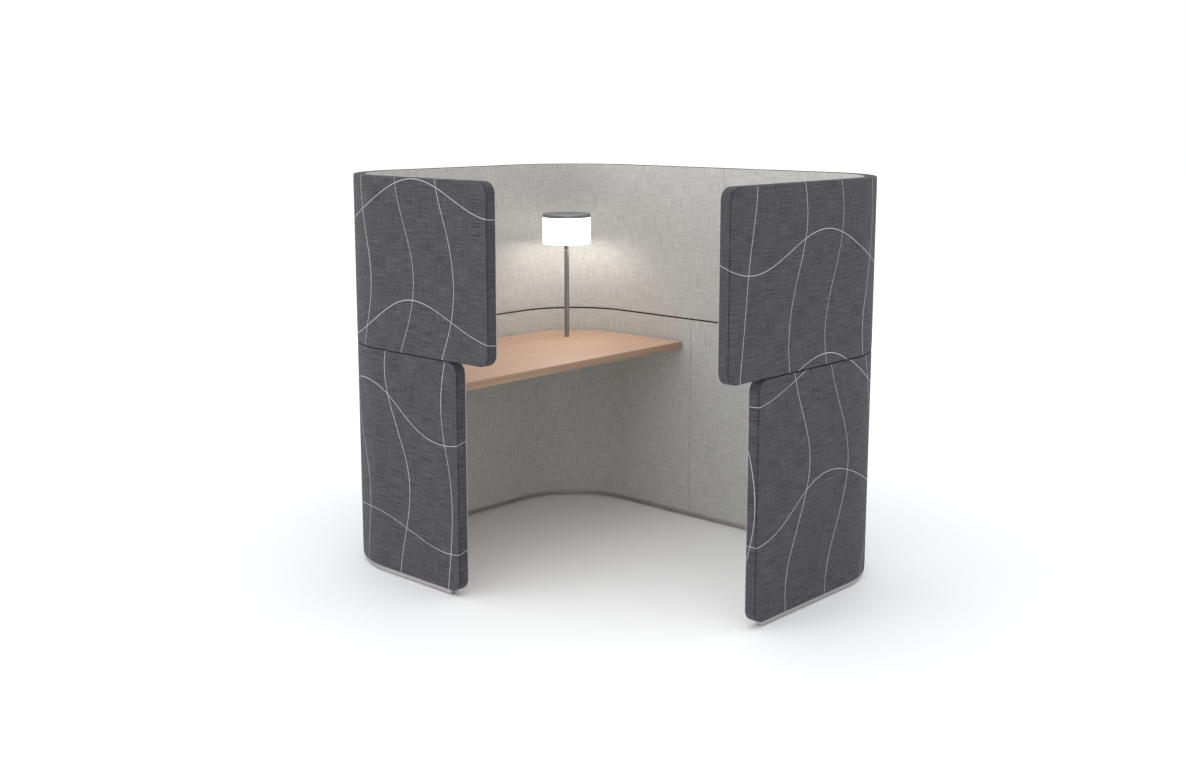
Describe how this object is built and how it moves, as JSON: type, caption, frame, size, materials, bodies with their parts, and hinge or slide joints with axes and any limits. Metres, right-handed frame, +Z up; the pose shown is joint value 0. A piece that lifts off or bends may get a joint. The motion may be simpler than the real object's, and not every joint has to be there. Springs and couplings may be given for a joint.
{
  "type": "office booth",
  "caption": "Free-standing work booth: two tiers of curved upholstered screens wrap a fixed wooden desk with a pole lamp, and one corner stays open as the way in.",
  "frame": {"origin": "on the floor, in the middle of the booth's plan", "axes": "+Z up, +Y towards the wall that the desk stands against, +X towards the full side wall"},
  "size_m": [1.33, 1.66, 1.42],
  "materials": {
    "cover_fabric": "charcoal blue-grey slub weave",
    "lining_fabric": "light warm-grey linen weave",
    "core_plywood": "bent plywood",
    "plinth_aluminium": "satin anodised",
    "joint_strip": "matt black",
    "fastener_steel": "zinc plated",
    "insert_brass": "turned",
    "desk_wood": "light beech, matt lacquer",
    "desk_edge": "beech edge, matt lacquer",
    "bracket_steel": "dark grey powder coat",
    "lamp_opal": "opal white, lit",
    "lamp_bronze": "satin warm grey",
    "lamp_collar": "matt dark grey",
    "lamp_board": "white solder mask",
    "inlet_plastic": "matt black",
    "foot_plastic": "matt black"
  },
  "bodies": {
    "booth": {"lower_desk_core": "core_plywood", "lower_desk_cover": "cover_fabric", "lower_desk_lining": "lining_fabric", "lower_entry_core": "core_plywood", "lower_entry_cover": "cover_fabric", "lower_entry_lining": "lining_fabric", "upper_desk_core": "core_plywood", "upper_desk_cover": "cover_fabric", "upper_desk_lining": "lining_fabric", "upper_entry_core": "core_plywood", "upper_entry_cover": "cover_fabric", "upper_entry_lining": "lining_fabric", "desk_plinth_rail": "plinth_aluminium", "entry_plinth_rail": "plinth_aluminium", "desk_joint_strip": "joint_strip", "entry_joint_strip": "joint_strip", "stacking_dowels": "fastener_steel", "seam_bolts": "fastener_steel", "foot_inserts": "insert_brass", "desk_top": "desk_wood", "desk_front_band": "desk_edge", "desk_bracket_left": "bracket_steel", "desk_bracket_right": "bracket_steel", "desk_bracket_back": "bracket_steel", "bracket_wall_screws": "fastener_steel", "bracket_desk_screws": "fastener_steel", "lamp_shade": "lamp_opal", "lamp_cap": "lamp_bronze", "lamp_led_board": "lamp_board", "lamp_diffuser": "lamp_opal", "lamp_pole": "lamp_bronze", "lamp_flange": "bracket_steel", "lamp_flange_screws": "fastener_steel", "lamp_power_inlet": "inlet_plastic"},
    "dimmer": {"lamp_dimmer_collar": "lamp_collar"},
    "foot_1": {"levelling_foot_1": "foot_plastic"},
    "foot_2": {"levelling_foot_2": "foot_plastic"},
    "foot_3": {"levelling_foot_3": "foot_plastic"},
    "foot_4": {"levelling_foot_4": "foot_plastic"},
    "foot_5": {"levelling_foot_5": "foot_plastic"},
    "foot_6": {"levelling_foot_6": "foot_plastic"},
    "foot_7": {"levelling_foot_7": "foot_plastic"},
    "foot_8": {"levelling_foot_8": "foot_plastic"}
  },
  "joints": [
    {"name": "dimmer_turn", "type": "hinge", "parent": "booth", "child": "dimmer", "pos_m": [0.385, 0.586, 1.1], "axis": [0, 0, 1], "range_deg": [0, 270]},
    {"name": "foot_1_level", "type": "slide", "parent": "booth", "child": "foot_1", "axis": [0, 0, -1], "range_m": [0, 0.012]},
    {"name": "foot_2_level", "type": "slide", "parent": "booth", "child": "foot_2", "axis": [0, 0, -1], "range_m": [0, 0.012]},
    {"name": "foot_3_level", "type": "slide", "parent": "booth", "child": "foot_3", "axis": [0, 0, -1], "range_m": [0, 0.012]},
    {"name": "foot_4_level", "type": "slide", "parent": "booth", "child": "foot_4", "axis": [0, 0, -1], "range_m": [0, 0.012]},
    {"name": "foot_5_level", "type": "slide", "parent": "booth", "child": "foot_5", "axis": [0, 0, -1], "range_m": [0, 0.012]},
    {"name": "foot_6_level", "type": "slide", "parent": "booth", "child": "foot_6", "axis": [0, 0, -1], "range_m": [0, 0.012]},
    {"name": "foot_7_level", "type": "slide", "parent": "booth", "child": "foot_7", "axis": [0, 0, -1], "range_m": [0, 0.012]},
    {"name": "foot_8_level", "type": "slide", "parent": "booth", "child": "foot_8", "axis": [0, 0, -1], "range_m": [0, 0.012]}
  ]
}
